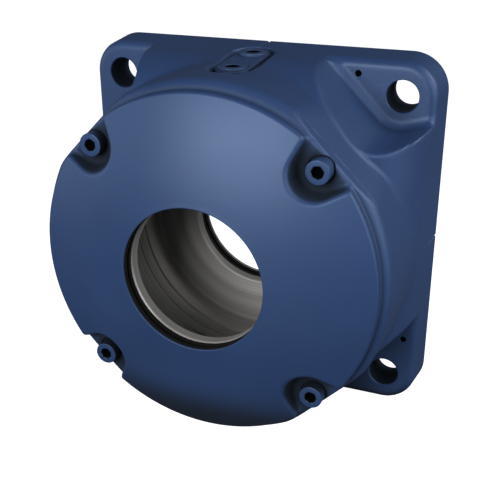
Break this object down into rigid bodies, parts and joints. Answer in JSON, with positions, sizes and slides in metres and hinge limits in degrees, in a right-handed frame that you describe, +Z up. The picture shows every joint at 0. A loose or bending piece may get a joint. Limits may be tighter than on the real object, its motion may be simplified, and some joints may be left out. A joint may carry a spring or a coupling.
{
  "type": "flanged bearing housing",
  "caption": "Square-flanged cast housing for a rolling bearing, with a round drum, a domed bolted cover, rubber shaft seals and two lubrication holes.",
  "frame": {"origin": "shaft axis in the plane of the mounting face", "axes": "+Y along the shaft from the cover to the wall, +Z up to the lubrication holes, +X to the right seen from the front"},
  "size_m": [0.2132, 0.1135, 0.2132],
  "materials": {
    "painted_casting": "satin blue paint outside, machined bare iron inside",
    "painted_cover": "satin blue paint",
    "seal_rubber": "matt black",
    "painted_screw": "satin blue paint over steel"
  },
  "bodies": {
    "root": {"housing_body": "painted_casting", "front_cover": "painted_cover", "cover_sealing_ring": "seal_rubber", "front_shaft_seal": "seal_rubber", "rear_shaft_seal": "seal_rubber", "cover_screw_top_right": "painted_screw", "cover_screw_top_left": "painted_screw", "cover_screw_bottom_left": "painted_screw", "cover_screw_bottom_right": "painted_screw"}
  },
  "joints": []
}
